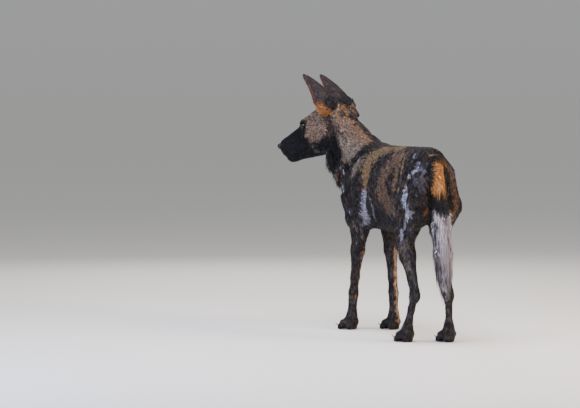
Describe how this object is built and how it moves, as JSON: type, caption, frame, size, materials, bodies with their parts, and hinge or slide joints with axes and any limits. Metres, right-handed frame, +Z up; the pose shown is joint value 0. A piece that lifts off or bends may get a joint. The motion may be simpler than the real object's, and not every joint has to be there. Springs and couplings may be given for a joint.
{
  "type": "african wild dog",
  "caption": "Still, life-size African wild dog standing and looking round to its left, large round ears up, white-tipped brush hanging, mottled black, tan and white coat.",
  "frame": {"origin": "on the floor, under the middle of the dog's bounding box", "axes": "+Z up; the trunk points along -Y, so +Y is towards the tail; the dog's left is +X, and its head is turned to that side"},
  "size_m": [0.2892, 0.9452, 0.8284],
  "materials": {
    "coat": "matt fur, black with tan and white patches",
    "tan_coat": "matt fur, tan and grey over the neck",
    "face_coat": "matt short fur, black muzzle and tan forehead",
    "brush": "matt long fur, white below a black band",
    "nose_leather": "moist pebbled leather",
    "eye": "wet and glossy",
    "claw": "dull horn"
  },
  "bodies": {
    "root": {"torso": "coat", "neck": "tan_coat", "head": "face_coat", "nose": "nose_leather", "left_ear": "coat", "left_eye": "eye", "right_ear": "coat", "right_eye": "eye", "fore_left_leg": "coat", "fore_left_paw": "coat", "fore_right_leg": "coat", "fore_right_paw": "coat", "hind_left_leg": "coat", "hind_left_paw": "coat", "hind_right_leg": "coat", "hind_right_paw": "coat", "fore_left_claw_1": "claw", "fore_left_claw_2": "claw", "fore_left_claw_3": "claw", "fore_left_claw_4": "claw", "fore_right_claw_1": "claw", "fore_right_claw_2": "claw", "fore_right_claw_3": "claw", "fore_right_claw_4": "claw", "hind_left_claw_1": "claw", "hind_left_claw_2": "claw", "hind_left_claw_3": "claw", "hind_left_claw_4": "claw", "hind_right_claw_1": "claw", "hind_right_claw_2": "claw", "hind_right_claw_3": "claw", "hind_right_claw_4": "claw", "tail": "brush"}
  },
  "joints": []
}
